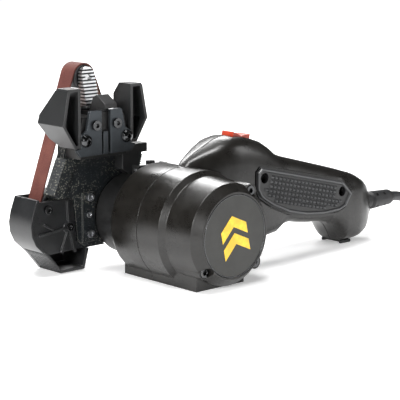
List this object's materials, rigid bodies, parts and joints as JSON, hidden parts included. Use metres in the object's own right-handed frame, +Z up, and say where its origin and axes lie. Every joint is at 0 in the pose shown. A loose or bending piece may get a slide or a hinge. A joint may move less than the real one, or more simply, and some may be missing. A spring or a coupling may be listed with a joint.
{
  "type": "handheld blade-grinding belt sander",
  "caption": "Small corded belt sander with a long rear handle, a round motor barrel and a swivelling three-roller belt cassette carrying a tilting two-wing blade guide.",
  "frame": {"origin": "on the flat underside, under the motor axis, midway along the motor's base", "axes": "+X towards the rear of the handle, +Y from the badge towards the belt cassette, +Z up"},
  "size_m": [0.5446, 0.1337, 0.1309],
  "materials": {
    "black_plastic": "satin moulded",
    "grip_rubber": "moulded texture",
    "badge_grey": "painted disc",
    "dark_paint": "textured paint",
    "blue_steel": "blued, brushed",
    "screw_steel": "zinc plated",
    "bright_steel": "ground",
    "cast_alloy": "bright cast",
    "rocker_red": "satin moulded",
    "abrasive": "coated abrasive cloth",
    "roller_rubber": "moulded",
    "cable_pvc": "satin",
    "laminations": "stacked sheet",
    "copper_wound": "varnished windings",
    "brass_parts": "drawn",
    "carbon": "pressed carbon",
    "fan_plastic": "moulded"
  },
  "bodies": {
    "housing": {"front_shell": "black_plastic", "rear_shell": "black_plastic", "badge": "badge_grey", "front_grip": "grip_rubber", "rear_grip": "grip_rubber", "housing_screws": "screw_steel", "handle_screws": "screw_steel", "heel_pad": "grip_rubber", "field_stator": "laminations", "brush_holders": "brass_parts", "carbon_brushes": "carbon", "front_bearing": "bright_steel", "rear_bearing": "bright_steel", "switch_body": "black_plastic", "neck_collar": "black_plastic", "lever_pin": "bright_steel", "strain_relief": "grip_rubber", "cord_tube": "cable_pvc", "cord_coil": "cable_pvc", "cord_tail": "cable_pvc", "cord_tie": "cable_pvc", "plug_body": "cable_pvc", "plug_blades": "bright_steel"},
    "rotor": {"motor_shaft": "bright_steel", "armature": "copper_wound", "commutator": "copper_wound", "cooling_fan": "fan_plastic", "drive_pulley": "roller_rubber"},
    "rocker": {"switch_rocker": "rocker_red"},
    "lever": {"release_lever": "dark_paint"},
    "cassette": {"cassette_frame": "dark_paint", "cassette_cover": "dark_paint", "cover_screws": "screw_steel", "belt_guard": "black_plastic", "guard_screws": "screw_steel", "idler_axle": "bright_steel", "toothed_arc": "dark_paint", "guide_block": "black_plastic", "block_screws": "screw_steel", "guide_pivots": "screw_steel", "blade_stop": "black_plastic", "angle_pointer": "blue_steel", "sanding_belt": "abrasive", "tension_spring": "bright_steel"},
    "idler": {"idler_roller": "roller_rubber"},
    "tensioner": {"tension_arm": "cast_alloy", "top_axle": "bright_steel"},
    "top_pulley": {"top_roller": "roller_rubber"},
    "left_guide": {"left_guide_plate": "blue_steel", "left_wing": "dark_paint", "left_guide_screw": "screw_steel"},
    "right_guide": {"right_guide_plate": "blue_steel", "right_wing": "dark_paint", "right_guide_screw": "screw_steel"}
  },
  "joints": [
    {"name": "motor_spin", "type": "hinge", "parent": "housing", "child": "rotor", "pos_m": [0, 0, 0.0325], "axis": [0, 1, 0], "continuous": true},
    {"name": "switch_rock", "type": "hinge", "parent": "housing", "child": "rocker", "pos_m": [0.04632, 0.007, 0.07731], "axis": [0, 1, 0], "range_deg": [-7, 7]},
    {"name": "release_lever_turn", "type": "hinge", "parent": "housing", "child": "lever", "pos_m": [0.007, 0.044, 0.0627], "axis": [1, 0, 0], "range_deg": [0, 6], "stiffness_Nm_per_rad": 0.6, "springref_deg": -8.59},
    {"name": "cassette_swivel", "type": "hinge", "parent": "housing", "child": "cassette", "pos_m": [0, 0.0615, 0.0325], "axis": [0, 1, 0], "range_deg": [-90, 0]},
    {"name": "idler_spin", "type": "hinge", "parent": "cassette", "child": "idler", "pos_m": [-0.0535, 0.072, 0.0414], "axis": [0, 1, 0], "continuous": true},
    {"name": "belt_tension", "type": "slide", "parent": "cassette", "child": "tensioner", "axis": [0, 0, -1], "range_m": [0, 0.008], "stiffness_N_per_m": 700, "springref_m": -0.02, "deforming": ["tension_spring"]},
    {"name": "top_spin", "type": "hinge", "parent": "tensioner", "child": "top_pulley", "pos_m": [-0.029, 0.072, 0.1222], "axis": [0, 1, 0], "continuous": true},
    {"name": "left_guide_tilt", "type": "hinge", "parent": "cassette", "child": "left_guide", "pos_m": [-0.0453, 0.044, 0.0854], "axis": [0, 1, 0], "range_deg": [-4, 4]},
    {"name": "right_guide_tilt", "type": "hinge", "parent": "cassette", "child": "right_guide", "pos_m": [-0.0127, 0.044, 0.0854], "axis": [0, 1, 0], "range_deg": [-4, 4]}
  ],
  "couplings": [
    {"joint": "idler_spin", "follows": "motor_spin", "ratio": 1.1657},
    {"joint": "top_spin", "follows": "motor_spin", "ratio": 1.7013},
    {"joint": "right_guide_tilt", "follows": "left_guide_tilt", "ratio": -1}
  ]
}
